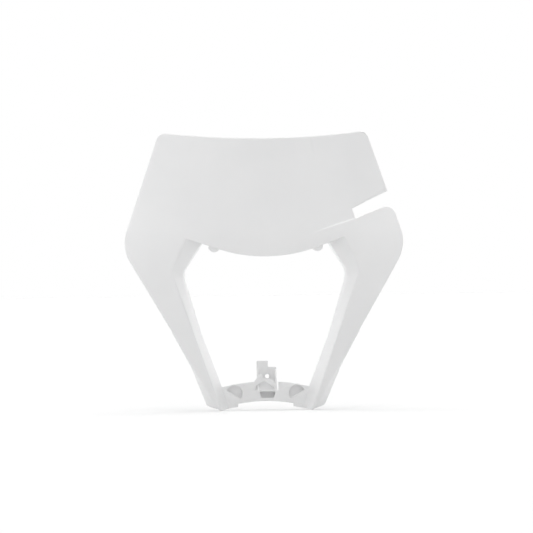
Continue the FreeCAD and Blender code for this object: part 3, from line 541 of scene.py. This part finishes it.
def crossbar():
    """The bar between the feet with its cups, pegs and pocket. Its upper edge is an arc that breaks off for
    the two clip arms, which meet in an arch, and for the gap beside them."""
    foot_x, step_x, step_z = 39.4, 28.8, -163.4
    low_z, under_z = [foot[1] + (foot_inner_x - x) * foot_slope for x in (foot_x, step_x)]
    arc = bent_line([(-46.7, -145.9), (0, -137.0), (46.7, -145.9)], [0, 180, 0], [4, 4], 80)
    half = [(foot_x, low_z), (step_x, under_z), (step_x, step_z)]
    arms = [(-12.1, -140.7), (-6.2, -133.0), (-3.6, -133.0), (-2.1, -137.4), (4.6, -137.4), (10.6, -144.2),
            (11.4, -149.2), (13.3, -149.2), (13.3, -140.7)]
    top_left, top_right = arc[arc[:, 0] < -12.8], arc[arc[:, 0] > 14.6]
    corners = [*top_left, *arms, *top_right, *half, (0, -158.5), *[(-x, z) for x, z in half[::-1]]]
    radii = [0.6, *[0] * (len(top_left) - 1), 0.4, 1.1, 1.1, 0.5, 1.1, 1.1, 0.4, 0.4, 0.8,
             *[0] * (len(top_right) - 1), 0.6, 0.6, 0.8, 0.8, 160, 0.8, 0.8, 0.6]
    outline = bent_loop(corners, radii, 8)
    arch = bent_loop([(-10.4, -145.0), (-1.3, -139.7), (8.5, -146.3), (9.2, -149.2), (-10.4, -149.2)],
                     [0.4, 0.4, 1.1, 0.4, 0.4], 4)
    pocket = bent_loop([(-6.5, -151.0), (10.5, -151.0), (8.3, -157.6), (-4.3, -157.6)], [0.7] * 4, 3)
    parts = [prism([outline, arch, pocket, cup_outline(1), cup_outline(-1)], bar_front, bar_rear, 0.4)]
    for sign in (1, -1):
        cup, peg = [circle(sign * cup_x, cup_z, radius) for radius in (cup_outer_radius, peg_radius)]
        parts.append(prism([cup, cup_outline(sign)], bar_rear - 1.0, cup_floor, 0.2))
        parts.append(prism([cup], cup_floor - 0.6, cup_rear, 0.5))
        parts.append(prism([peg], cup_floor, peg_end, 0.9))
    return joined(parts)


def clip():
    """The adjuster clip behind the bar: a stepped tab with its screw hole, a ramp and two cheeks."""
    inside = bar_front + 0.4
    tab = bent_loop([(tab_left, tab_top), (tab_step_x, tab_top), (tab_step_x, tab_step_z),
                     (tab_right, tab_step_z), (tab_right, tab_foot), (tab_left, tab_foot)],
                    [1.0, 0.8, 1.0, 1.0, 0.8, 0.8], 4)
    ramp = bent_loop([(inside, -149.4), (tab_front + 1, -138.4), (tab_front + 1, -142.5),
                      (bar_rear, -150.7), (inside, -150.7)], [0.4] * 5, 3)
    cheek = bent_loop([(inside, -149.0), (tab_front + 1, -124.5), (tab_front + 1, -158.6),
                       (bar_front + 1.5, -158.6), (inside, -150.7)], [0.7] * 5, 3)
    return joined([
        prism([tab, circle(screw_x, screw_z, screw_radius, 24)], tab_front, tab_front + wall, 0.4),
        prism([ramp], ramp_left, ramp_right, 0.2, "x"),
        prism([cheek], tab_left, tab_left + cheek_wall, 0.4, "x"),
        prism([cheek], tab_right - cheek_wall, tab_right, 0.4, "x"),
    ])


def lamp_bosses():
    """Two screw bosses behind the visor, each with a web up the back of the plate. A boss is a profile turned
    about its axis: x = middle + r * cos(t), z = r * sin(t), with a blind hole in its rear end."""
    turn = np.linspace(0, 2 * np.pi, 49)
    ease, middle = 0.5, 0.15
    radius = np.array([0, hole_radius, hole_radius, hole_radius + middle, hole_radius + ease,
                       boss_radius - ease, boss_radius - middle, boss_radius, boss_radius, 0])[:, None]
    depth = np.array([-hole_depth, -hole_depth, -ease, -middle, 0, 0, -middle, -ease, -ease, -ease])[:, None]
    parts = []
    for x in (boss_x, -boss_x):
        boss = np.stack([x + radius * np.cos(turn), depth + 0 * turn, radius * np.sin(turn)], axis=-1)
        boss[-2:, :, 1] = skin(boss[-2:, :, 0], boss[-2:, :, 2]) + wall / 2
        parts.append(outward(*welded([(boss, (0, 1, 0))])))
        rise = np.linspace(0, web_top_z, 9)
        plate = dished if x > 0 else skin
        plate_y = np.maximum(skin(0 * rise + x, rise), plate(0 * rise + x, rise))
        front = np.stack([plate_y + wall / 2, rise], axis=1)
        rear = [(web_top_y, web_top_z), (web_foot_y, web_foot_z), (web_foot_y, 0.0)]
        web = np.concatenate([front, rear])
        parts.append(prism([web], x - web_wall / 2, x + web_wall / 2, 0.4, "x"))
    return joined(parts)


piece("crossbar", *crossbar(), 40)
piece("adjuster_clip", *clip(), 40)
piece("lamp_bosses", *lamp_bosses(), 40)


def seen_white(nodes, links):
    """One for rays that see the background itself: from the camera, in a reflection or through glass."""
    path = nodes.new("ShaderNodeLightPath")
    seen = path.outputs["Is Camera Ray"]
    for name in ("Is Glossy Ray", "Is Transmission Ray"):
        most = nodes.new("ShaderNodeMath")
        most.operation = "MAXIMUM"
        links.new(seen, most.inputs[0])
        links.new(path.outputs[name], most.inputs[1])
        seen = most.outputs["Value"]
    return seen


# Bearing from the front towards the right, height above the level, half width, all in degrees, and strength.
soft_lights = [
    (0, 35, 40, 1.2), (0, 90, 50, 2.4), (90, 10, 35, 0.6), (120, 10, 30, 3.4), (180, 10, 35, 0.2),
    (-120, 10, 30, 2.4), (-90, 10, 35, 1.4),
]
floor_tone, floor_glow = 0.85, 0.04


def light_tent():
    """Soft white patches of light all round. A patch is strongest in its middle direction and fades with the
    cosine of the angle from it, by a smooth step that ends at its rim. The camera, reflections and glass
    see plain white."""
    world = bpy.data.worlds.new("light_tent")
    bpy.context.scene.world = world
    world.use_nodes = True
    nodes, links = world.node_tree.nodes, world.node_tree.links
    nodes.clear()
    place = nodes.new("ShaderNodeTexCoord")
    total = None
    for bearing, height, width, strength in soft_lights:
        bearing, height = np.radians(bearing), np.radians(height)
        dot, fade = nodes.new("ShaderNodeVectorMath"), nodes.new("ShaderNodeMapRange")
        dot.operation = "DOT_PRODUCT"
        dot.inputs[1].default_value = (np.sin(bearing) * np.cos(height), -np.cos(bearing) * np.cos(height),
                                       np.sin(height))
        fade.interpolation_type = "SMOOTHSTEP"
        fade.inputs["From Min"].default_value = np.cos(np.radians(width))
        fade.inputs["To Max"].default_value = strength
        links.new(place.outputs["Generated"], dot.inputs[0])
        links.new(dot.outputs["Value"], fade.inputs["Value"])
        if total is None:
            total = fade.outputs["Result"]
            continue
        add = nodes.new("ShaderNodeMath")
        links.new(total, add.inputs[0])
        links.new(fade.outputs["Result"], add.inputs[1])
        total = add.outputs["Value"]
    tent, white = nodes.new("ShaderNodeBackground"), nodes.new("ShaderNodeBackground")
    tent.inputs["Color"].default_value = (1, 1, 1, 1)
    white.inputs["Color"].default_value = (1, 1, 1, 1)
    mix, out = nodes.new("ShaderNodeMixShader"), nodes.new("ShaderNodeOutputWorld")
    links.new(total, tent.inputs["Strength"])
    links.new(seen_white(nodes, links), mix.inputs["Fac"])
    links.new(tent.outputs["Background"], mix.inputs[1])
    links.new(white.outputs["Background"], mix.inputs[2])
    links.new(mix.outputs["Shader"], out.inputs["Surface"])


def white_floor():
    """A wide pale floor under the feet that keeps the object's shadow. The lights make it nearly white, and
    a faint glow does the rest where it is seen."""
    mat = bpy.data.materials.new("pale_floor")
    mat.use_nodes = True
    nodes, links = mat.node_tree.nodes, mat.node_tree.links
    shader = nodes["Principled BSDF"]
    shader.inputs["Base Color"].default_value = (floor_tone, floor_tone, floor_tone, 1)
    shader.inputs["Roughness"].default_value = 1.0
    shader.inputs["Specular IOR Level"].default_value = 0.0
    shader.inputs["Emission Color"].default_value = (1, 1, 1, 1)
    glow = nodes.new("ShaderNodeMath")
    glow.operation = "MULTIPLY"
    glow.inputs[1].default_value = floor_glow
    links.new(seen_white(nodes, links), glow.inputs[0])
    links.new(glow.outputs["Value"], shader.inputs["Emission Strength"])
    mesh = bpy.data.meshes.new("floor")
    reach, gap = 20.0, 0.0005
    level = foot[1] / 1000 - gap
    square = [(-reach, -reach), (reach, -reach), (reach, reach), (-reach, reach)]
    mesh.from_pydata([(x, y, level) for x, y in square], [], [(0, 1, 2, 3)])
    mesh.materials.append(mat)
    floor = bpy.data.objects.new("floor", mesh)
    bpy.context.collection.objects.link(floor)


def photo_camera():
    """Long lens a little to the left of the middle line, rolled by under one degree as the photo is."""
    data = bpy.data.cameras.new("photo_camera")
    camera = bpy.data.objects.new("photo_camera", data)
    bpy.context.collection.objects.link(camera)
    distance = 5.0
    frame_width = 0.5522
    data.sensor_width = 36
    data.lens = data.sensor_width * distance / frame_width
    target = Vector((0.0012, 0.0, -0.0208))
    yaw = np.radians(3.0)
    roll = np.radians(0.7)
    sight = Vector((np.sin(yaw), np.cos(yaw), 0))
    turn = sight.to_track_quat("-Z", "Y").to_matrix() @ Matrix.Rotation(-roll, 3, "Z")
    camera.matrix_world = Matrix.Translation(target - sight * distance) @ turn.to_4x4()
    bpy.context.scene.camera = camera


bpy.context.scene.view_settings.view_transform = "Standard"
light_tent()
white_floor()
photo_camera()
